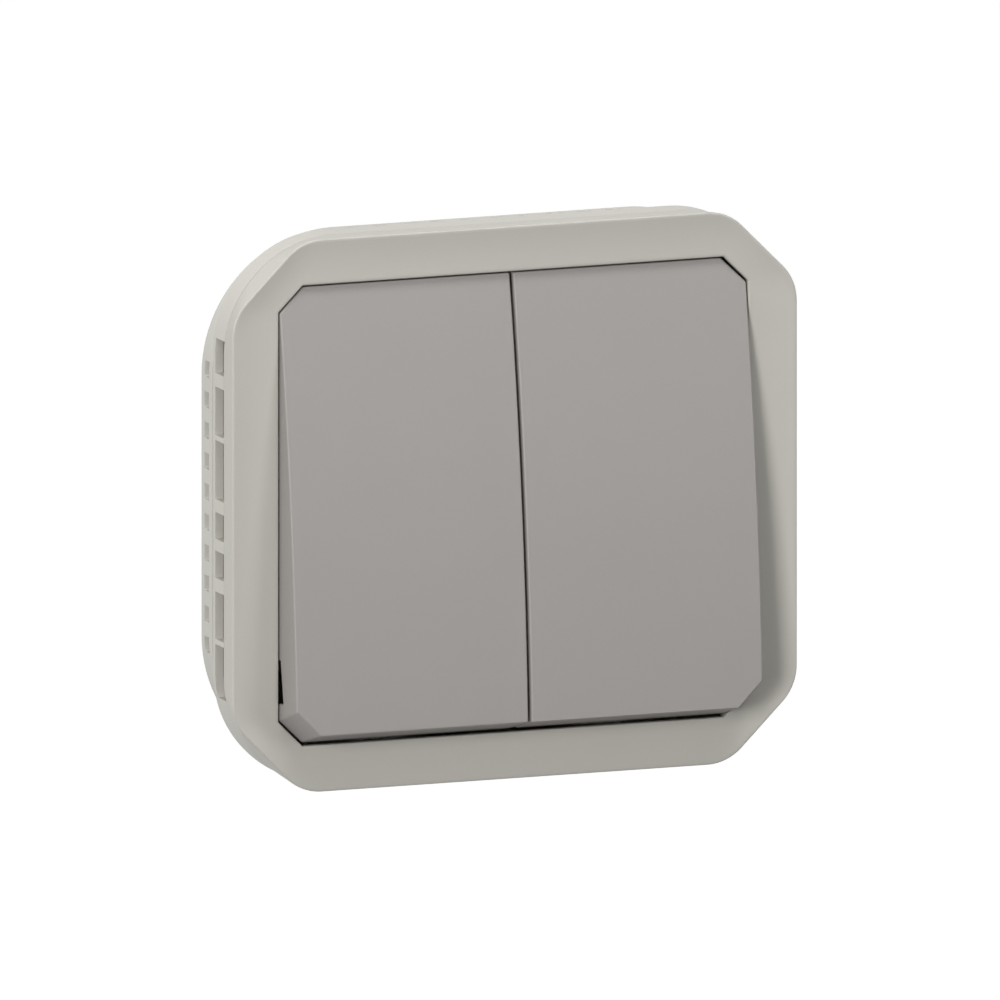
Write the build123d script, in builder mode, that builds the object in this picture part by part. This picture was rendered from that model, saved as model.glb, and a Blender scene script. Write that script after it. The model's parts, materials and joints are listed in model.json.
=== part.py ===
from build123d import *
import os
from math import cos, radians, sin

# Weatherproof double rocker wall switch: a recessed two-gang mechanism behind an octagonal bezel.
# Frame: millimetres, +Z up, the front faces -Y, +X to the right as seen from the front.
# The origin is the centre of the seat plane, where the rear face of the sealing ring meets the box.
# "front(d)" is the plane d mm in front of the seat plane, so a sketch on it grows towards the user.
# Both gangs are mirror copies; "side" is -1 for the left gang and +1 for the right one.

# Bezel and opening
BEZEL_W = 70.0
BEZEL_H = 65.0
BEZEL_FRONT = 11.6
RIM_DEPTH = 3.2
RIM_BACK = BEZEL_FRONT - RIM_DEPTH
CORNER_LEG = 8.6
CORNER_ROUND = 6.0
REAR_LEG = 8.0
REAR_ROUND = 13.2
DISH_LAND = 0.45
DISH_DEPTH = 0.45
OPENING_W = 58.2
OPENING_H = 54.2
OPENING_LEG = 3.0
LIP_BACK = 9.4
RELIEF = 0.2
RELIEF_LEG = 2.3
SKIRT_WALL = 1.2
SKIRT_BACK = 5.6
FACE_WALL = 1.6

# Support frame behind the bezel
PLATE_BACK = 3.3
PLATE_FRONT = 5.0
POCKET_FLOOR = 4.2
POCKET_HALF_W = 29.0
POCKET_Z = (19.0, 27.3)
WINDOW_SILL = 0.65
FRAME_WALL = 1.0
GASKET_T = 0.5
FRAME_HOLE_W = 50.0
FRAME_HOLE_H = 46.0
FIX_SPACING = 60.0
FIX_HOLE_R = 1.7
RIBS = ((15.7, 1.6), (8.9, 0.6), (0.9, 1.5), (-3.7, 1.4), (-8.4, 1.6), (-15.1, 0.6))
WINDOW_TOP = 20.6
WINDOW_BOTTOM = -21.7

# Sealing ring on the seat plane
RING_W = 68.8
RING_H = 63.2
RING_ROUND = 16.2
RING_WALL = 2.2
TOOTH_PITCH = 3.6
TOOTH_GAP = 1.9
TOOTH_DEPTH = 1.1

# Rockers: a convex cap tilted about the pivot axle
PIVOT_D = 5.9
TILT = 6.7
CAP_GAP = 0.2
CENTRE_GAP = 0.4
CAP_HALF_H = 26.08
CAP_FLARE = 0.17
CAP_EDGE = 7.7
CAP_CROWN = 8.68
CAP_SKIRT = 1.8
CAP_INSIDE = 6.0
CAP_WALL = 1.4
CAP_LEG = 2.9
CORNER_FLARE = 0.2
RELIEF_START = (17.4, 3.24)
RELIEF_END = (22.4, 3.6)
EAR_NOTCH_HALF = 3.5
EAR_NOTCH_TOP = 3.3
AXLE_R = 1.2
AXLE_HALF = 27.0
FIT = 0.04
LUG_R = 2.2

# Mechanism
GANG_X = 9.9
STEM_HALF = 2.0
STEM_END = -9.0
SPRING_SEAT = -3.0
PLUNGER_TOP = -6.15
PLUNGER_TIP = -13.0
LEVER_Y = 8.2
LEVER_TILT = -5.0
LEVER_HALF = 7.5
TIP_Z = 6.0
TIP_R = 1.3
CONTACT_Y = 9.9
CONTACT_T = 0.8
DECK_Y = CONTACT_Y + CONTACT_T
DECK_T = 1.8

# Housing and its cover
COVER_W = 54.0
COVER_H = 53.0
FLANGE_BACK = 0.4
COVER_BACK = 1.6
COVER_FRONT = 2.6
HOUSING_W = 41.0
HOUSING_H = 44.0
HOUSING_Y = 28.0
HOUSING_WALL = 1.5
HOUSING_ROUND = 6.0
SCREW_X = 18.0
SCREW_Z = 24.7
SCREW_R = 1.0
SCREW_GRIP = 0.8

# Terminals: a wire hole and a release button for each
TERMINALS = {"upper": 14.0, "middle": 0.0, "lower": -14.0}
WIRE_X = 13.6
WIRE_R = 1.5
BAR_X = 15.2
BUTTON_X = 6.3
BUTTON_W = 3.2
BUTTON_H = 4.4
BUTTON_GAP = 0.15

CAP_OUTER = OPENING_W / 2 - CAP_GAP
CAP_INNER = CENTRE_GAP / 2
PIVOT = Vector(0, -PIVOT_D, 0)
LEVER_PIVOT = Vector(0, LEVER_Y, 0)
GANGS = {"left": -1, "right": 1}

os.makedirs("parts", exist_ok=True)


def save(piece, name):
    piece.part.label = name
    export_step(piece.part, f"parts/{name}.step")


def front(d):
    """The plane d mm in front of the seat plane, facing the user."""
    return Plane.XZ.offset(d)


def tilted(pivot, tilt, c):
    """The plane c mm in front of a pivot, its normal raised by tilt degrees."""
    normal = Vector(0, -cos(radians(tilt)), sin(radians(tilt)))
    return Plane(origin=pivot + normal * c, x_dir=(1, 0, 0), z_dir=normal)


def profile(pivot, tilt, x):
    """A side-view plane at x: local x runs up the tilted piece and local y runs to its front."""
    up = Vector(0, sin(radians(tilt)), cos(radians(tilt)))
    return Plane(origin=pivot + Vector(x, 0, 0), x_dir=up, z_dir=(1, 0, 0))


def octagon(plane, width, height, leg, corner):
    """An upright rectangle with cut corners and eight rounded vertices."""
    with BuildSketch(plane) as outline:
        Rectangle(width, height)
        chamfer(outline.vertices(), leg)
        fillet(outline.vertices(), corner)
    return outline.sketch


def rounded(plane, width, height, radius):
    with BuildSketch(plane) as outline:
        RectangleRounded(width, height, radius)
    return outline.sketch


def block(x, y, z, mode=Mode.ADD):
    """A box given by its three (low, high) ranges."""
    centre = Vector(*[(low + high) / 2 for low, high in (x, y, z)])
    size = [high - low for low, high in (x, y, z)]
    with Locations(centre):
        Box(*size, mode=mode)


def span(side, near, far):
    """The X range from near to far on one side of the middle."""
    return tuple(sorted((side * near, side * far)))


def round_hole(plane, radius, length, x, z, mode=Mode.SUBTRACT):
    with BuildSketch(plane) as hole:
        with Locations((x, z)):
            Circle(radius)
    extrude(hole.sketch, amount=length, mode=mode)


def window_ranges():
    """The open stretches between the ribs, from the top of the wall to its bottom."""
    edge = WINDOW_TOP
    for centre, width in RIBS:
        yield centre + width / 2, edge
        edge = centre - width / 2
    yield WINDOW_BOTTOM, edge


# Bezel: a dished octagonal face on a deeper rounded rim, with a skirt round the opening
with BuildPart() as bezel:
    rear = octagon(front(RIM_BACK), BEZEL_W - 0.2, BEZEL_H - 0.2, REAR_LEG, REAR_ROUND)
    face = octagon(front(BEZEL_FRONT), BEZEL_W, BEZEL_H, CORNER_LEG, CORNER_ROUND)
    loft([rear, face], ruled=True)
    hollow = octagon(front(RIM_BACK), BEZEL_W - 3, BEZEL_H - 3, REAR_LEG - 0.8, REAR_ROUND - 2.5)
    extrude(hollow, amount=RIM_DEPTH - FACE_WALL - DISH_DEPTH, mode=Mode.SUBTRACT)
    land_w = BEZEL_W - 2 * DISH_LAND
    land_h = BEZEL_H - 2 * DISH_LAND
    dish_top = octagon(front(BEZEL_FRONT), land_w, land_h, CORNER_LEG - 0.25, CORNER_ROUND)
    dish_floor = octagon(front(BEZEL_FRONT - DISH_DEPTH), OPENING_W, OPENING_H, OPENING_LEG, 0.1)
    loft([dish_floor, dish_top], ruled=True, mode=Mode.SUBTRACT)
    skirt_w = OPENING_W + 2 * SKIRT_WALL
    skirt_h = OPENING_H + 2 * SKIRT_WALL
    skirt = octagon(front(SKIRT_BACK), skirt_w, skirt_h, OPENING_LEG + 0.5, 0.6)
    extrude(skirt, amount=BEZEL_FRONT - DISH_DEPTH - 0.5 - SKIRT_BACK)
    for x in (-14.0, 14.0):
        for z in (-1, 1):
            hook_z = span(z, OPENING_H / 2 + RELIEF, OPENING_H / 2 + SKIRT_WALL)
            barb_z = span(z, OPENING_H / 2 + RELIEF, OPENING_H / 2 + SKIRT_WALL + 0.6)
            block((x - 3, x + 3), (-SKIRT_BACK - 0.5, -2.7), hook_z)
            block((x - 3, x + 3), (-PLATE_BACK + 0.05, -2.7), barb_z)
    for side in (-1, 1):
        notch_x = span(side, OPENING_W / 2 - 1, OPENING_W / 2 + SKIRT_WALL + 1)
        block(notch_x, (-SKIRT_BACK - 2.2, -SKIRT_BACK + 1), (-3.5, 3.5), Mode.SUBTRACT)
    opening = octagon(front(LIP_BACK), OPENING_W, OPENING_H, OPENING_LEG, 0.1)
    extrude(opening, amount=BEZEL_FRONT + 1 - LIP_BACK, mode=Mode.SUBTRACT)
    behind = octagon(front(0), OPENING_W + 2 * RELIEF, OPENING_H + 2 * RELIEF, RELIEF_LEG, 0.1)
    extrude(behind, amount=LIP_BACK, mode=Mode.SUBTRACT)
save(bezel, "bezel")

# Support frame: a plate with bearing ears inside a wall of open windows
with BuildPart() as support_frame:
    extrude(rounded(front(PLATE_BACK), BEZEL_W - 2, BEZEL_H - 2, 15.5), amount=PLATE_FRONT - PLATE_BACK)
    wall_outline = octagon(front(PLATE_FRONT), BEZEL_W - 0.3, BEZEL_H - 0.3, REAR_LEG, REAR_ROUND)
    extrude(wall_outline, amount=RIM_BACK - PLATE_FRONT)
    inner_w = BEZEL_W - 0.3 - 2 * FRAME_WALL
    inner_h = BEZEL_H - 0.3 - 2 * FRAME_WALL
    hollow = octagon(front(PLATE_FRONT), inner_w, inner_h, REAR_LEG - 0.6, REAR_ROUND - 1.3)
    extrude(hollow, amount=RIM_BACK - PLATE_FRONT, mode=Mode.SUBTRACT)
    depth = (-RIM_BACK - 0.1, -PLATE_FRONT - WINDOW_SILL)
    for side in (-1, 1):
        for low, high in window_ranges():
            block(span(side, inner_w / 2 - 1, BEZEL_W / 2), depth, (low, high), Mode.SUBTRACT)
    block(
        (-FRAME_HOLE_W / 2, FRAME_HOLE_W / 2),
        (-PLATE_FRONT, -PLATE_BACK),
        (-FRAME_HOLE_H / 2, FRAME_HOLE_H / 2),
        Mode.SUBTRACT,
    )
    block((-1.5, 1.5), (-PLATE_FRONT, -PLATE_BACK), (-FRAME_HOLE_H / 2, FRAME_HOLE_H / 2))
    for low, high in ((-27.0, -25.2), (-0.8, 0.8), (25.2, 27.0)):
        with BuildSketch(profile(PIVOT, 0, low)):
            Circle(LUG_R)
            with Locations((0, -LUG_R / 2)):
                Rectangle(2 * LUG_R, LUG_R)
        extrude(amount=high - low)
        block((low, high), (-PLATE_FRONT, -PLATE_BACK), (-LUG_R, LUG_R))
    with BuildSketch(profile(PIVOT, 0, -AXLE_HALF)):
        Circle(AXLE_R)
    extrude(amount=2 * AXLE_HALF, mode=Mode.SUBTRACT)
    for z in (-1, 1):
        pocket_y = (-PLATE_FRONT, -POCKET_FLOOR)
        block((-POCKET_HALF_W, POCKET_HALF_W), pocket_y, span(z, *POCKET_Z), Mode.SUBTRACT)
        for x in (-14.0, 14.0):
            block((x - 3.3, x + 3.3), (-PLATE_FRONT, -PLATE_BACK), span(z, 26.95, 29.05), Mode.SUBTRACT)
    for side in (-1, 1):
        round_hole(front(PLATE_BACK), FIX_HOLE_R, PLATE_FRONT - PLATE_BACK, side * FIX_SPACING / 2, 0)
        for z in (-SCREW_Z, SCREW_Z):
            round_hole(front(PLATE_BACK), SCREW_R, SCREW_GRIP, side * SCREW_X, z)
save(support_frame, "support_frame")

# Sealing ring with a castellated outer edge
with BuildPart() as sealing_ring:
    extrude(rounded(front(0), RING_W, RING_H, RING_ROUND), amount=PLATE_BACK)
    hollow = rounded(front(0), RING_W - 2 * RING_WALL, RING_H - 2 * RING_WALL, RING_ROUND - RING_WALL)
    extrude(hollow, amount=PLATE_BACK, mode=Mode.SUBTRACT)
    for n in range(-5, 5):
        z = (n + 0.5) * TOOTH_PITCH
        for side in (-1, 1):
            edge_x = span(side, RING_W / 2 - TOOTH_DEPTH, RING_W / 2 + 1)
            edge_z = span(side, RING_H / 2 - TOOTH_DEPTH, RING_H / 2 + 1)
            gap = (z - TOOTH_GAP / 2, z + TOOTH_GAP / 2)
            block(edge_x, (-2.4, -0.9), gap, Mode.SUBTRACT)
            block(gap, (-2.4, -0.9), edge_z, Mode.SUBTRACT)
save(sealing_ring, "sealing_ring")

# Soft gasket lying in the frame's front channel
with BuildPart() as bezel_gasket:
    extrude(rounded(front(PLATE_FRONT), 66.6, 61.6, 12), amount=GASKET_T)
    extrude(rounded(front(PLATE_FRONT), 63.8, 58.8, 11), amount=GASKET_T, mode=Mode.SUBTRACT)
save(bezel_gasket, "bezel_gasket")


def stem_slots(d, length):
    """The openings that both rocker stems swing in."""
    with BuildSketch(front(d)) as slots:
        with Locations((-GANG_X, 0), (GANG_X, 0)):
            Rectangle(2 * STEM_HALF + 0.8, 6.0)
    extrude(slots.sketch, amount=length, mode=Mode.SUBTRACT)


def screw_holes(d, length):
    with BuildSketch(front(d)) as holes:
        with GridLocations(2 * SCREW_X, 2 * SCREW_Z, 2, 2):
            Circle(SCREW_R + 0.1)
    extrude(holes.sketch, amount=length, mode=Mode.SUBTRACT)


# Elastomer membrane clamped between frame and mechanism
with BuildPart() as rocker_membrane:
    extrude(rounded(front(COVER_FRONT), COVER_W, COVER_H - 0.6, 3), amount=PLATE_BACK - COVER_FRONT)
    stem_slots(COVER_FRONT, PLATE_BACK - COVER_FRONT)
    screw_holes(COVER_FRONT, PLATE_BACK - COVER_FRONT)
save(rocker_membrane, "rocker_membrane")

# Insulating cover that closes the housing
with BuildPart() as mechanism_cover:
    extrude(rounded(front(COVER_BACK), COVER_W, COVER_H, 3), amount=COVER_FRONT - COVER_BACK)
    stem_slots(COVER_BACK, COVER_FRONT - COVER_BACK)
    screw_holes(COVER_BACK, COVER_FRONT - COVER_BACK)
save(mechanism_cover, "mechanism_cover")

# Housing: a flanged box with three terminal chambers for each gang
inner_x = HOUSING_W / 2 - HOUSING_WALL
inner_z = HOUSING_H / 2 - HOUSING_WALL
inner_back = HOUSING_Y - HOUSING_WALL
inner_round = HOUSING_ROUND - HOUSING_WALL
with BuildPart() as housing:
    extrude(rounded(front(FLANGE_BACK), COVER_W, COVER_H, 3), amount=COVER_BACK - FLANGE_BACK)
    extrude(rounded(front(-HOUSING_Y), HOUSING_W, HOUSING_H, HOUSING_ROUND), amount=HOUSING_Y + FLANGE_BACK)
    hollow = rounded(front(-inner_back), 2 * inner_x, 2 * inner_z, inner_round)
    extrude(hollow, amount=inner_back + COVER_BACK, mode=Mode.SUBTRACT)
    chamber_y = (DECK_Y + DECK_T, inner_back)
    block((-0.6, 0.6), chamber_y, (-inner_z, inner_z))
    for z in (-7.0, 7.0):
        block((-inner_x, inner_x), chamber_y, (z - 0.5, z + 0.5))
    for side in (-1, 1):
        for z in TERMINALS.values():
            round_hole(front(-HOUSING_Y), WIRE_R, HOUSING_WALL, side * WIRE_X, z)
            block(
                span(side, BUTTON_X - BUTTON_W / 2 - BUTTON_GAP, BUTTON_X + BUTTON_W / 2 + BUTTON_GAP),
                (inner_back, HOUSING_Y),
                (z - BUTTON_H / 2 - BUTTON_GAP, z + BUTTON_H / 2 + BUTTON_GAP),
                Mode.SUBTRACT,
            )
    screw_holes(FLANGE_BACK, COVER_BACK - FLANGE_BACK)
save(housing, "housing")

# Deck that carries the fixed contacts, slotted for the terminal bars
with BuildPart() as contact_deck:
    extrude(rounded(front(-DECK_Y), 2 * inner_x - 0.1, 2 * inner_z - 0.1, inner_round), amount=-DECK_T)
    for side in (-1, 1):
        for z in TERMINALS.values():
            block(
                span(side, BAR_X, BAR_X + CONTACT_T),
                (DECK_Y, DECK_Y + DECK_T),
                (z - 2.5, z + 2.5),
                Mode.SUBTRACT,
            )
save(contact_deck, "contact_deck")

with BuildPart() as module_divider:
    block((-0.6, 0.6), (-COVER_BACK, DECK_Y), (-inner_z, inner_z))
save(module_divider, "module_divider")

with BuildPart() as pivot_axle:
    with BuildSketch(profile(PIVOT, 0, -AXLE_HALF)):
        Circle(AXLE_R)
    extrude(amount=2 * AXLE_HALF)
save(pivot_axle, "pivot_axle")

# Four screws hold housing, cover and membrane to the frame
with BuildPart() as housing_screws:
    for x in (-SCREW_X, SCREW_X):
        for z in (-SCREW_Z, SCREW_Z):
            round_hole(front(FLANGE_BACK), SCREW_R, PLATE_BACK - FLANGE_BACK + SCREW_GRIP, x, z, Mode.ADD)
            round_hole(front(FLANGE_BACK - 1.2), 1.8, 1.2, x, z, Mode.ADD)
            block((x - 1.2, x + 1.2), (0.3, 0.9), (z - 0.2, z + 0.2), Mode.SUBTRACT)
save(housing_screws, "housing_screws")


def cap_outline(side, c, wall):
    """A rocker's outline c mm above the pivot: the ends and cut corners lean out towards its skirt."""
    half_h = CAP_HALF_H + CAP_FLARE * (CAP_EDGE - c)
    leg = CAP_LEG + (CAP_FLARE - CORNER_FLARE) * (CAP_EDGE - c)
    with BuildSketch(tilted(PIVOT, TILT, c)) as outline:
        with Locations((side * (CAP_OUTER + CAP_INNER) / 2, 0)):
            Rectangle(CAP_OUTER - CAP_INNER - 2 * wall, 2 * (half_h - wall))
        corners = outline.vertices().sort_by(Axis.X)
        chamfer(corners[:2] if side < 0 else corners[-2:], leg - wall / 2)
    return outline.sketch


def build_cap(name, side):
    """The visible rocker: a convex shell with cut outer corners and a relief in its outer skirt."""
    width = CAP_OUTER - CAP_INNER
    middle = side * (CAP_OUTER + CAP_INNER) / 2
    with BuildPart() as cap:
        loft([cap_outline(side, CAP_SKIRT, 0), cap_outline(side, CAP_CROWN + 1, 0)], ruled=True)
        hollow = cap_outline(side, CAP_INSIDE, CAP_WALL)
        extrude(hollow, amount=CAP_SKIRT - CAP_INSIDE, mode=Mode.SUBTRACT)
        with BuildSketch(profile(PIVOT, TILT, middle - width)):
            with BuildLine():
                ThreePointArc((-CAP_HALF_H, CAP_EDGE), (0, CAP_CROWN), (CAP_HALF_H, CAP_EDGE))
                Polyline(
                    (CAP_HALF_H, CAP_EDGE),
                    (CAP_HALF_H + 2, CAP_EDGE - 0.16),
                    (CAP_HALF_H + 2, 0),
                    (-CAP_HALF_H - 2, 0),
                    (-CAP_HALF_H - 2, CAP_EDGE - 0.16),
                    (-CAP_HALF_H, CAP_EDGE),
                )
            make_face()
        extrude(amount=2 * width, mode=Mode.INTERSECT)
        with BuildSketch(profile(PIVOT, TILT, side * CAP_OUTER - 2)):
            for end in (-1, 1):
                with BuildLine():
                    Polyline(
                        (end * RELIEF_START[0], RELIEF_START[1]),
                        (end * RELIEF_END[0], RELIEF_END[1]),
                        (end * RELIEF_END[0], 0),
                        (end * RELIEF_START[0], 0),
                        close=True,
                    )
                make_face()
        extrude(amount=4, mode=Mode.SUBTRACT)
        with BuildSketch(profile(PIVOT, TILT, middle - width)):
            Rectangle(2 * EAR_NOTCH_HALF, 2 * EAR_NOTCH_TOP)
        extrude(amount=2 * width, mode=Mode.SUBTRACT)
    save(cap, f"rocker_{name}")


def build_carrier(name, side):
    """The toggle under a rocker: a plate on two bearing lugs, with a hollow stem."""
    with BuildPart() as carrier:
        with BuildSketch(tilted(PIVOT, TILT, CAP_INSIDE - 1.4)):
            with Locations((side * 13.5, 0)):
                Rectangle(22.2, 44.0)
        extrude(amount=1.4)
        for near, far in ((3.5, 6.5), (GANG_X - STEM_HALF, GANG_X + STEM_HALF), (20.5, 23.5)):
            low, high = span(side, near, far)
            with BuildSketch(profile(PIVOT, TILT, low)):
                Circle(LUG_R)
                with Locations((0, (CAP_INSIDE - 1.4) / 2)):
                    Rectangle(2 * LUG_R, CAP_INSIDE - 1.4)
            extrude(amount=high - low)
        with BuildSketch(tilted(PIVOT, TILT, STEM_END)):
            with Locations((side * GANG_X, 0)):
                Rectangle(2 * STEM_HALF, 2 * STEM_HALF)
        extrude(amount=-STEM_END)
        with BuildSketch(profile(PIVOT, TILT, -AXLE_HALF)):
            Circle(AXLE_R + FIT)
        extrude(amount=2 * AXLE_HALF, mode=Mode.SUBTRACT)
        with BuildSketch(tilted(PIVOT, TILT, STEM_END)):
            with Locations((side * GANG_X, 0)):
                Circle(AXLE_R + FIT)
        extrude(amount=SPRING_SEAT - STEM_END, mode=Mode.SUBTRACT)
    save(carrier, f"carrier_{name}")


def build_plunger(name, side):
    centre = tilted(PIVOT, TILT, PLUNGER_TIP).origin + Vector(side * GANG_X, 0, 0)
    axis = Axis(centre, tilted(PIVOT, TILT, 0).z_dir)
    with BuildPart() as plunger:
        side_plane = Plane(origin=centre, x_dir=(1, 0, 0), z_dir=Vector(1, 0, 0).cross(axis.direction))
        with BuildSketch(side_plane):
            with BuildLine():
                Line((0, 0), (0, PLUNGER_TOP - PLUNGER_TIP))
                Line((0, PLUNGER_TOP - PLUNGER_TIP), (AXLE_R, PLUNGER_TOP - PLUNGER_TIP))
                Line((AXLE_R, PLUNGER_TOP - PLUNGER_TIP), (AXLE_R, AXLE_R))
                RadiusArc((AXLE_R, AXLE_R), (0, 0), -AXLE_R)
            make_face()
        revolve(axis=axis)
    save(plunger, f"plunger_{name}")


def build_plunger_spring(name, side):
    """A coil spring in the stem, drawn at its shortest working length."""
    wire, coil, turns = 0.14, 0.85, 4
    length = SPRING_SEAT - PLUNGER_TOP - 0.55 - 2 * wire - 0.06
    base = tilted(PIVOT, TILT, SPRING_SEAT - wire - 0.03)
    origin = base.origin + Vector(side * GANG_X, 0, 0)
    with BuildPart() as plunger_spring:
        with BuildLine() as path:
            Helix(length / turns, length, coil, center=origin, direction=-base.z_dir)
        with BuildSketch(Plane(origin=path.line @ 0, z_dir=path.line % 0)):
            Circle(wire)
        sweep()
    save(plunger_spring, f"plunger_spring_{name}")


def build_lever(name, side):
    """The see-saw contact that the plunger flips, and its two silver tips."""
    low, high = span(side, GANG_X - 2, GANG_X + 2)
    with BuildPart() as lever:
        with BuildSketch(profile(LEVER_PIVOT, LEVER_TILT, low)):
            Circle(0.6)
            with Locations((0, 0.3)):
                Rectangle(0.8, 0.6)
            with Locations((0, 0.65)):
                Rectangle(2 * LEVER_HALF, 0.8)
        extrude(amount=high - low)
    save(lever, f"contact_lever_{name}")
    with BuildPart() as tips:
        with BuildSketch(tilted(LEVER_PIVOT, LEVER_TILT, 0.25)):
            with Locations((side * GANG_X, -TIP_Z), (side * GANG_X, TIP_Z)):
                Circle(TIP_R)
        extrude(amount=-0.8)
    save(tips, f"lever_tips_{name}")


def build_fixed_contacts(name, side):
    """Three brass contacts with their terminal bars, and the two fixed silver tips."""
    plate_y = (CONTACT_Y, DECK_Y)
    bar_x = span(side, BAR_X, BAR_X + CONTACT_T)
    for position, z in TERMINALS.items():
        with BuildPart() as contact:
            block(bar_x, (CONTACT_Y, 25.0), (z - 2.5, z + 2.5))
            if position == "middle":
                block(span(side, GANG_X - 2, BAR_X), plate_y, (-2, 2))
                block(span(side, GANG_X - 2, GANG_X + 2), (LEVER_Y + 0.15, CONTACT_Y), (-1.5, 1.5))
                with BuildSketch(profile(LEVER_PIVOT, 0, side * GANG_X - 2.5)):
                    Circle(0.6 + FIT)
                extrude(amount=5, mode=Mode.SUBTRACT)
            else:
                sign = 1 if z > 0 else -1
                block(span(side, GANG_X - 1.5, BAR_X), plate_y, span(sign, 4.2, 16.5))
        save(contact, f"{position}_contact_{name}")
    with BuildPart() as fixed_tips:
        for z in (-TIP_Z, TIP_Z):
            round_hole(front(-CONTACT_Y), TIP_R, CONTACT_Y - 9.42, side * GANG_X, z, Mode.ADD)
    save(fixed_tips, f"fixed_tips_{name}")


def build_clamp_springs(name, side):
    """Three bent-strip springs that press each wire against its bar."""
    bends = ((14.95, 13.2), (11.2, 13.2), (9.4, 16.0), (10.6, 20.5), (14.8, 17.5))
    with BuildPart() as clamps:
        for z in TERMINALS.values():
            with BuildSketch(Plane.XY.offset(z - 2)):
                with BuildLine() as strip:
                    Polyline(*[(side * x, y) for x, y in bends])
                trace(strip.line, 0.4)
            extrude(amount=4)
    save(clamps, f"clamp_springs_{name}")


def build_buttons(name, side):
    """One release button for each terminal, held in by a flange behind the rear wall."""
    for position, z in TERMINALS.items():
        with BuildPart() as button:
            block(
                span(side, BUTTON_X - BUTTON_W / 2, BUTTON_X + BUTTON_W / 2),
                (22.0, HOUSING_Y + 0.8),
                (z - BUTTON_H / 2, z + BUTTON_H / 2),
            )
            block(
                span(side, BUTTON_X - BUTTON_W / 2 - 0.6, BUTTON_X + BUTTON_W / 2 + 0.6),
                (24.2, inner_back - 0.1),
                (z - BUTTON_H / 2 - 0.6, z + BUTTON_H / 2 + 0.6),
            )
        save(button, f"release_button_{position}_{name}")


for gang, sign in GANGS.items():
    build_cap(gang, sign)
    build_carrier(gang, sign)
    build_plunger(gang, sign)
    build_plunger_spring(gang, sign)
    build_lever(gang, sign)
    build_fixed_contacts(gang, sign)
    build_clamp_springs(gang, sign)
    build_buttons(gang, sign)
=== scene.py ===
"""Looks for the double rocker wall switch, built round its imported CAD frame.

Everything is in metres in the CAD frame: the front faces -Y, +Z is up, y = 0 is the seat plane.
Sizes are given in millimetres and turned into metres where meshes are made.
"""
import json
import math

import bmesh
import bpy
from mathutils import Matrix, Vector


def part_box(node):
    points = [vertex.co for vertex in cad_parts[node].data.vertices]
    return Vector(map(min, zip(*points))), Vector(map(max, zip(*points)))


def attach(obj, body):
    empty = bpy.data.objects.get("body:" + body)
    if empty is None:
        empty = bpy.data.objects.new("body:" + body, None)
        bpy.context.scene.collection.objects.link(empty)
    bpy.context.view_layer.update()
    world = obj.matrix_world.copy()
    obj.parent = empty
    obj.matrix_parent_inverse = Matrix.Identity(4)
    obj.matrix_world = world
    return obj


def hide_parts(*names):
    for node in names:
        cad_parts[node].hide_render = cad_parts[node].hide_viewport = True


MM = 0.001
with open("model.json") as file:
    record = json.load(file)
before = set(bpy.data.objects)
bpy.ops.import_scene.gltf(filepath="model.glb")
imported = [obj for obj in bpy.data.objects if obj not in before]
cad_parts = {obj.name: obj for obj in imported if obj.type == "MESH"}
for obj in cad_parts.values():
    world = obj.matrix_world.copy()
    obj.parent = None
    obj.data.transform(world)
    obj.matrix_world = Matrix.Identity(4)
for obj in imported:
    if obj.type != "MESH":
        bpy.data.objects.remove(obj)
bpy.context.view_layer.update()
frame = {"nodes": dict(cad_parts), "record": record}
NODES = frame["nodes"]


# ---------------------------------------------------------------- camera, light and floor

VIEW_AZIMUTH = -21.0
VIEW_ELEVATION = 10.4
VIEW_WIDTH = 115.7
VIEW_SHIFT = (-1.72, 0.25)
LENS_DISTANCE = 0.6
CLIP_RANGE = (0.01, 20)
WORLD_FRONT = 0.13
WORLD_BACK = 0.85
WORLD_BLEND = 0.25
FLOOR_SIZE = 12
FLOOR_LEVEL = -0.25
FLOOR_GLOW = 0.72
# name: azimuth, elevation, distance, width, height, power
LAMPS = {
    "key_left": (-44, 10, 1.0, 0.28, 0.4, 6.9),
    "fill_right": (36, 12, 1.0, 0.36, 0.4, 1.8),
    "top_soft": (-8, 66, 0.6, 0.45, 0.25, 2.2),
}


def from_front(azimuth, elevation):
    """The direction from the object to a viewer or a lamp, azimuth 0 straight in front, 90 at +X."""
    a, e = math.radians(azimuth), math.radians(elevation)
    return Vector((math.sin(a) * math.cos(e), -math.cos(a) * math.cos(e), math.sin(e)))


def make_camera():
    data = bpy.data.cameras.new("camera")
    data.type = "ORTHO"
    data.ortho_scale = VIEW_WIDTH * MM
    camera = bpy.data.objects.new("camera", data)
    bpy.context.collection.objects.link(camera)
    back = from_front(VIEW_AZIMUTH, VIEW_ELEVATION)
    right = Vector((0, 0, 1)).cross(back).normalized()
    up = back.cross(right)
    bezel_low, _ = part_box("bezel")
    aim = Vector((0, bezel_low.y, 0)) + (right * VIEW_SHIFT[0] + up * VIEW_SHIFT[1]) * MM
    camera.rotation_mode = "QUATERNION"
    camera.rotation_quaternion = back.to_track_quat("Z", "Y")
    camera.location = aim + back * LENS_DISTANCE
    data.clip_start, data.clip_end = CLIP_RANGE
    bpy.context.scene.camera = camera


def area_light(name, azimuth, elevation, distance, width, height, power):
    data = bpy.data.lights.new(name, "AREA")
    data.shape = "RECTANGLE"
    data.size = width
    data.size_y = height
    data.energy = power
    lamp = bpy.data.objects.new(name, data)
    direction = from_front(azimuth, elevation)
    lamp.location = direction * distance
    lamp.rotation_mode = "QUATERNION"
    lamp.rotation_quaternion = direction.to_track_quat("Z", "Y")
    bpy.context.collection.objects.link(lamp)


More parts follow.
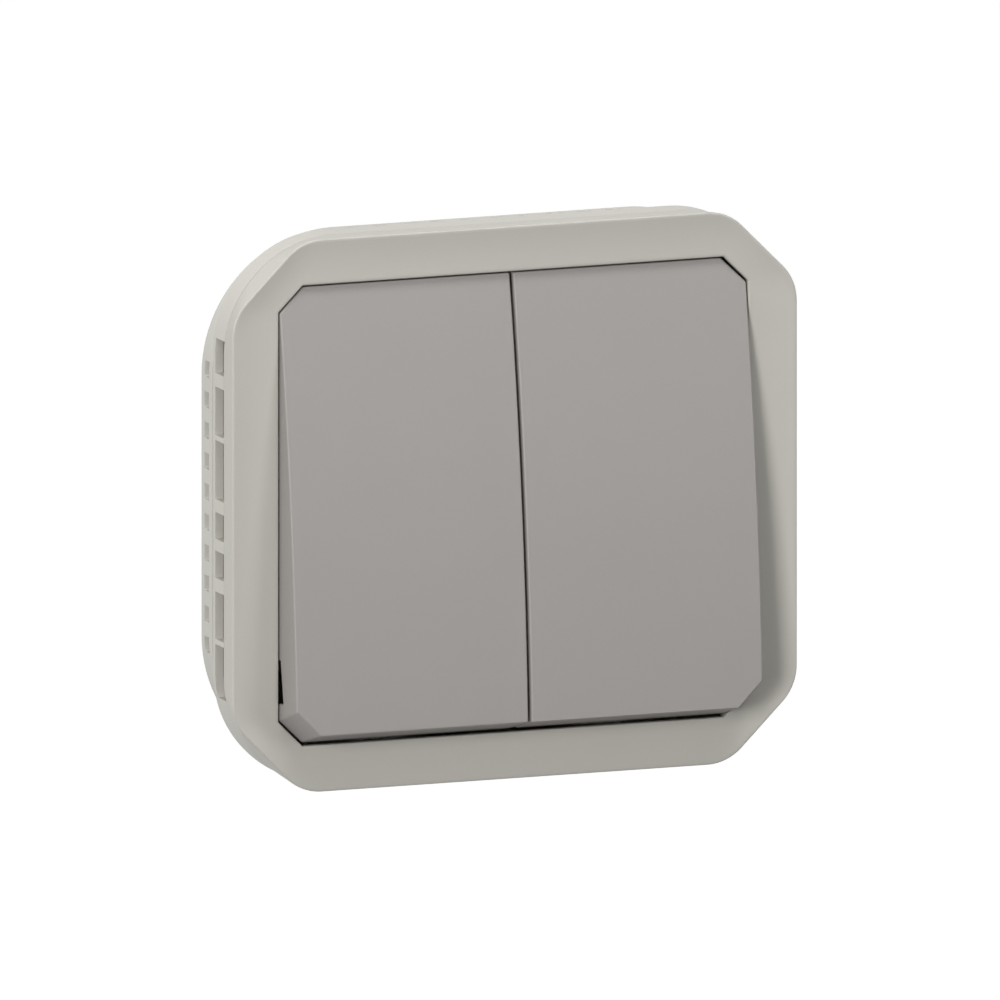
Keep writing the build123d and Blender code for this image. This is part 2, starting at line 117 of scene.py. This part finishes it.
def make_world(front_level, back_level):
    """Studio surroundings: dim on the viewer's side, white behind the switch as in a light tent."""
    world = bpy.data.worlds.new("studio")
    world.use_nodes = True
    tree = world.node_tree
    background = tree.nodes["Background"]
    coords = tree.nodes.new("ShaderNodeTexCoord")
    split = tree.nodes.new("ShaderNodeSeparateXYZ")
    level = tree.nodes.new("ShaderNodeMapRange")
    level.inputs["From Min"].default_value = -WORLD_BLEND
    level.inputs["From Max"].default_value = WORLD_BLEND
    level.inputs["To Min"].default_value = front_level
    level.inputs["To Max"].default_value = back_level
    tree.links.new(coords.outputs["Generated"], split.inputs["Vector"])
    tree.links.new(split.outputs["Y"], level.inputs["Value"])
    tree.links.new(level.outputs["Result"], background.inputs["Strength"])
    background.inputs["Color"].default_value = (1.0, 1.0, 1.0, 1)
    bpy.context.scene.world = world
    bpy.context.scene.view_settings.view_transform = "Standard"


def make_floor():
    """A wide pale floor well below the switch, which a wall would hold. It lights nothing."""
    bpy.ops.mesh.primitive_plane_add(size=FLOOR_SIZE, location=(0, 0, FLOOR_LEVEL))
    floor = bpy.context.object
    floor.name = "floor"
    floor.visible_diffuse = False
    floor.visible_glossy = False
    material = bpy.data.materials.new("floor_paint")
    material.use_nodes = True
    shader = material.node_tree.nodes["Principled BSDF"]
    shader.inputs["Base Color"].default_value = (0.5, 0.5, 0.5, 1)
    shader.inputs["Roughness"].default_value = 0.9
    shader.inputs["Emission Color"].default_value = (1.0, 1.0, 1.0, 1)
    shader.inputs["Emission Strength"].default_value = FLOOR_GLOW
    floor.data.materials.append(material)


make_camera()
make_world(WORLD_FRONT, WORLD_BACK)
for lamp_name, lamp_values in LAMPS.items():
    area_light(lamp_name, *lamp_values)
make_floor()


# ---------------------------------------------------------------- materials

def shader_nodes(name):
    material = bpy.data.materials.new(name)
    material.use_nodes = True
    tree = material.node_tree
    return material, tree, tree.nodes["Principled BSDF"]


def noise(tree, scale_mm, detail, rough=0.55, stretch=(1, 1, 1)):
    """Noise whose features are about scale_mm across, in the object's own coordinates."""
    coords = tree.nodes.new("ShaderNodeTexCoord")
    mapping = tree.nodes.new("ShaderNodeMapping")
    mapping.inputs["Scale"].default_value = [s / (scale_mm * MM) for s in stretch]
    texture = tree.nodes.new("ShaderNodeTexNoise")
    texture.inputs["Scale"].default_value = 1.0
    texture.inputs["Detail"].default_value = detail
    texture.inputs["Roughness"].default_value = rough
    tree.links.new(coords.outputs["Object"], mapping.inputs["Vector"])
    tree.links.new(mapping.outputs["Vector"], texture.inputs["Vector"])
    return texture.outputs["Fac"]


def spread(tree, value, low, high):
    """Maps the middle of a noise to the range low to high."""
    node = tree.nodes.new("ShaderNodeMapRange")
    node.inputs["From Min"].default_value = 0.3
    node.inputs["From Max"].default_value = 0.7
    node.inputs["To Min"].default_value = low
    node.inputs["To Max"].default_value = high
    tree.links.new(value, node.inputs["Value"])
    return node.outputs["Result"]


def mix_colour(tree, factor, first, second):
    node = tree.nodes.new("ShaderNodeMix")
    node.data_type = "RGBA"
    tree.links.new(factor, node.inputs["Factor"])
    for socket, value in ((node.inputs[6], first), (node.inputs[7], second)):
        if isinstance(value, bpy.types.NodeSocket):
            tree.links.new(value, socket)
        else:
            socket.default_value = (*value, 1)
    return node.outputs[2]


def bump(tree, value, depth_mm, strength, previous=None):
    node = tree.nodes.new("ShaderNodeBump")
    node.inputs["Distance"].default_value = depth_mm * MM
    node.inputs["Strength"].default_value = strength
    tree.links.new(value, node.inputs["Height"])
    if previous is not None:
        tree.links.new(previous, node.inputs["Normal"])
    return node.outputs["Normal"]


def moulded(name, colour, roughness=0.5, grain=0.16, depth=0.012, drift=0.012, specular=0.4):
    """Spark-eroded moulded plastic: fine pitted grain, slow colour drift and uneven gloss."""
    material, tree, shader = shader_nodes(name)
    slow = spread(tree, noise(tree, 14.0, 2.0), 0.0, 1.0)
    fine = noise(tree, grain, 5.0, 0.6)
    darker = [c * (1 - drift) for c in colour]
    lighter = [min(1.0, c * (1 + drift)) for c in colour]
    tone = mix_colour(tree, slow, darker, lighter)
    speck = mix_colour(tree, spread(tree, fine, 0.0, 0.3), tone, [c * 0.9 for c in colour])
    tree.links.new(speck, shader.inputs["Base Color"])
    tree.links.new(spread(tree, fine, roughness - 0.07, roughness + 0.07), shader.inputs["Roughness"])
    surface = bump(tree, fine, depth, 0.55)
    surface = bump(tree, noise(tree, 6.0, 1.0), 0.01, 0.15, surface)
    tree.links.new(surface, shader.inputs["Normal"])
    shader.inputs["Specular IOR Level"].default_value = specular
    return material


def metal(name, colour, roughness=0.3, brushed=(1, 6, 1), tarnish=(0.7, 0.7, 0.7)):
    """Stamped or drawn metal: fine lines along one direction and faint tarnish."""
    material, tree, shader = shader_nodes(name)
    lines = noise(tree, 0.5, 3.0, 0.6, brushed)
    patches = spread(tree, noise(tree, 2.5, 4.0), 0.0, 0.5)
    dull = [c * t for c, t in zip(colour, tarnish)]
    tree.links.new(mix_colour(tree, patches, colour, dull), shader.inputs["Base Color"])
    tree.links.new(spread(tree, lines, roughness - 0.08, roughness + 0.12), shader.inputs["Roughness"])
    tree.links.new(bump(tree, lines, 0.006, 0.4), shader.inputs["Normal"])
    shader.inputs["Metallic"].default_value = 1.0
    return material


MATERIALS = {
    "bezel_grey": moulded("bezel_plastic", (0.49, 0.477, 0.432), 0.48),
    "frame_grey": moulded("frame_plastic", (0.52, 0.505, 0.46), 0.5),
    "seal_grey": moulded("seal_elastomer", (0.53, 0.52, 0.48), 0.62, 0.22, 0.015, 0.03, 0.3),
    "gasket_rubber": moulded("gasket_rubber", (0.05, 0.05, 0.05), 0.7, 0.25, 0.02, 0.15, 0.3),
    "mechanism_white": moulded("mechanism_plastic", (0.68, 0.67, 0.62), 0.5, 0.3),
    "housing_grey": moulded("housing_plastic", (0.20, 0.20, 0.195), 0.52, 0.3, 0.02, 0.04),
    "rocker_grey": moulded("rocker_plastic", (0.33, 0.311, 0.298), 0.5, 0.14, 0.012, 0.01),
    "carrier_plastic": moulded("carrier_plastic", (0.62, 0.61, 0.57), 0.45, 0.3),
    "button_orange": moulded("button_plastic", (0.72, 0.21, 0.03), 0.35, 0.3, 0.01, 0.05, 0.5),
    "steel": metal("steel", (0.62, 0.62, 0.63), 0.28),
    "brass": metal("brass", (0.78, 0.57, 0.27), 0.3, (1, 1, 6), (0.72, 0.66, 0.6)),
    "silver": metal("silver", (0.86, 0.85, 0.83), 0.22),
}


# ---------------------------------------------------------------- bezel and rounded edges

CORNER_STEPS = 10
BEZEL_FRONT = 11.6
BEZEL_BACK = 8.4
LIP_BACK = 9.4
SKIRT_BACK = 5.6
EDGE = 0.2
DISH = 0.45
SMALL_EDGE = 0.12
RIM_WALL = 1.3
SKIRT_WALL = 1.0
RIM_STEPS = 8
EDGE_STEPS = 6
DISH_STEPS = 16
LEG_SHRINK = 0.586
# outlines as half width, half height, cut corner leg and vertex radius
RIM_REAR = (34.9, 32.4, 8.0, 13.1)
RIM_FRONT = (35.0, 32.5, 8.6, 6.0)
OPENING = (29.1, 27.1, 3.0, 0.25)
OPENING_BEHIND = (29.3, 27.3, 2.3, 0.3)

CLIP_POSITIONS = (-14.0, 14.0)
CLIP_HALF_WIDTH = 2.9
# the hook's section: distance from the middle and distance in front of the seat plane
CLIP_SECTION = [(27.35, 5.8), (27.35, 2.8), (28.6, 2.8), (28.9, 3.2), (28.2, 3.6), (28.2, 5.8)]

EDGE_ANGLE = 30
EDGE_SEGMENTS = 3
WELD_DISTANCE = 0.002
USUAL_ROUNDING = 0.14
CLIP_ROUNDING = 0.1
ROUNDING = {
    "rocker_left": 0.22,
    "rocker_right": 0.22,
    "sealing_ring": 0.06,
    "plunger_spring_left": 0.02,
    "plunger_spring_right": 0.02,
}


def cut_corner_loop(half_w, half_h, leg, radius):
    """Points round an upright rectangle with cut corners, every vertex rounded, as (x, z) in mm."""
    corners = []
    for sx, sz, first_on_side in ((1, 1, True), (-1, 1, False), (-1, -1, True), (1, -1, False)):
        on_side = Vector((sx * half_w, sz * (half_h - leg)))
        on_end = Vector((sx * (half_w - leg), sz * half_h))
        corners += [on_side, on_end] if first_on_side else [on_end, on_side]
    points = []
    count = len(corners)
    turn = math.radians(45)
    for i, corner in enumerate(corners):
        before = (corners[i - 1] - corner).normalized()
        after = (corners[(i + 1) % count] - corner).normalized()
        middle = corner + (before + after).normalized() * (radius / math.cos(turn / 2))
        start = corner + before * (radius * math.tan(turn / 2)) - middle
        for n in range(CORNER_STEPS + 1):
            angle = turn * n / CORNER_STEPS
            spin = Vector((
                start.x * math.cos(angle) - start.y * math.sin(angle),
                start.x * math.sin(angle) + start.y * math.cos(angle),
            ))
            points.append(middle + spin)
    return points


def skin_rings(name, rings):
    """A closed tube of quads through rings of equal length; the last ring joins the first."""
    mesh = bpy.data.meshes.new(name)
    size = len(rings[0])
    verts = [Vector(p) * MM for ring in rings for p in ring]
    faces = []
    for r in range(len(rings)):
        here, there = r * size, (r + 1) % len(rings) * size
        for i in range(size):
            j = (i + 1) % size
            faces.append((here + i, here + j, there + j, there + i))
    mesh.from_pydata(verts, [], faces)
    mesh.update()
    work = bmesh.new()
    work.from_mesh(mesh)
    bmesh.ops.recalc_face_normals(work, faces=work.faces)
    work.to_mesh(mesh)
    work.free()
    obj = bpy.data.objects.new(name, mesh)
    bpy.context.collection.objects.link(obj)
    return obj


def smooth_faces(obj):
    for face in obj.data.polygons:
        face.use_smooth = True


def inset(outline, distance):
    """The same outline moved in by a distance, its cut corners as well."""
    half_w, half_h, leg, radius = outline
    return half_w - distance, half_h - distance, leg - distance * LEG_SHRINK, max(radius - distance, 0.2)


def between(first, second, t):
    return tuple(a + (b - a) * t for a, b in zip(first, second))


def loop_at(outline, depth):
    """An outline as a ring of points, depth mm in front of the seat plane."""
    return [(x, -depth, z) for x, z in cut_corner_loop(*outline)]


def make_bezel():
    """The dished octagonal cover: rounded rim, curved face, crisp opening lip and thin inner skirt."""
    inner_wall = inset(RIM_REAR, RIM_WALL)
    rim_start = BEZEL_BACK + SMALL_EDGE
    rings = [
        loop_at(inner_wall, BEZEL_BACK),
        loop_at(inset(RIM_REAR, SMALL_EDGE), BEZEL_BACK),
        loop_at(RIM_REAR, rim_start),
    ]
    for n in range(1, RIM_STEPS):
        depth = rim_start + (BEZEL_FRONT - EDGE - BEZEL_BACK - SMALL_EDGE) * n / RIM_STEPS
        rings.append(loop_at(between(RIM_REAR, RIM_FRONT, n / RIM_STEPS), depth))
    for n in range(EDGE_STEPS + 1):
        angle = math.radians(90 * n / EDGE_STEPS)
        depth = BEZEL_FRONT - EDGE + EDGE * math.sin(angle)
        rings.append(loop_at(inset(RIM_FRONT, EDGE * (1 - math.cos(angle))), depth))
    # the dish falls fastest at the rim and runs out flat at the opening
    dish_rim = inset(RIM_FRONT, EDGE)
    dish_lip = inset(OPENING, -SMALL_EDGE)
    for n in range(1, DISH_STEPS + 1):
        t = n / DISH_STEPS
        rings.append(loop_at(between(dish_rim, dish_lip, t), BEZEL_FRONT - DISH * (1 - (1 - t) ** 2)))
    floor = BEZEL_FRONT - DISH
    skirt = inset(OPENING_BEHIND, -SKIRT_WALL)
    rings += [
        loop_at(inset(OPENING, -0.04), floor - 0.04),
        loop_at(OPENING, floor - SMALL_EDGE),
        loop_at(OPENING, LIP_BACK),
        loop_at(OPENING_BEHIND, LIP_BACK - 0.05),
        loop_at(OPENING_BEHIND, SKIRT_BACK),
        loop_at(skirt, SKIRT_BACK),
        loop_at(skirt, LIP_BACK - 0.1),
        loop_at(inner_wall, LIP_BACK + 0.15),
    ]
    return skin_rings("bezel_cover", rings)


def make_bezel_clips():
    """Four snap hooks behind the top and bottom of the skirt."""
    work = bmesh.new()
    for x in CLIP_POSITIONS:
        for sign in (-1, 1):
            ends = []
            for end_x in (x - CLIP_HALF_WIDTH, x + CLIP_HALF_WIDTH):
                ends.append([work.verts.new(Vector((end_x, -d, sign * z)) * MM) for z, d in CLIP_SECTION])
            left, right = ends
            work.faces.new(left)
            work.faces.new(right)
            for i in range(len(CLIP_SECTION)):
                j = (i + 1) % len(CLIP_SECTION)
                work.faces.new((left[i], left[j], right[j], right[i]))
    bmesh.ops.recalc_face_normals(work, faces=work.faces)
    mesh = bpy.data.meshes.new("bezel_clips")
    work.to_mesh(mesh)
    work.free()
    clips = bpy.data.objects.new("bezel_clips", mesh)
    bpy.context.collection.objects.link(clips)
    return clips


def round_edges(obj, width):
    """Small rounded edges, with normals that keep the broad faces flat."""
    edge = obj.modifiers.new("edges", "BEVEL")
    edge.width = width * MM
    edge.segments = EDGE_SEGMENTS
    edge.limit_method = "ANGLE"
    edge.angle_limit = math.radians(EDGE_ANGLE)
    edge.use_clamp_overlap = True
    weighted = obj.modifiers.new("face_normals", "WEIGHTED_NORMAL")
    weighted.mode = "FACE_AREA"
    weighted.weight = 90
    weighted.keep_sharp = False
    smooth_faces(obj)


def dress_nodes():
    """Every CAD node gets its slot's material, welded corners and small rounded edges."""
    slots = {s["node"]: s["material_slot"] for s in frame["record"]["subparts"]}
    for name, node in NODES.items():
        node.data.materials.clear()
        node.data.materials.append(MATERIALS[slots[name]])
        weld = node.modifiers.new("weld", "WELD")
        weld.merge_threshold = WELD_DISTANCE * MM
        round_edges(node, ROUNDING.get(name, USUAL_ROUNDING))


dress_nodes()
bezel_cover = make_bezel()
bezel_clips = make_bezel_clips()
for piece in (bezel_cover, bezel_clips):
    piece.data.materials.append(MATERIALS["bezel_grey"])
    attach(piece, "base")
smooth_faces(bezel_cover)
round_edges(bezel_clips, CLIP_ROUNDING)
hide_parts("bezel")
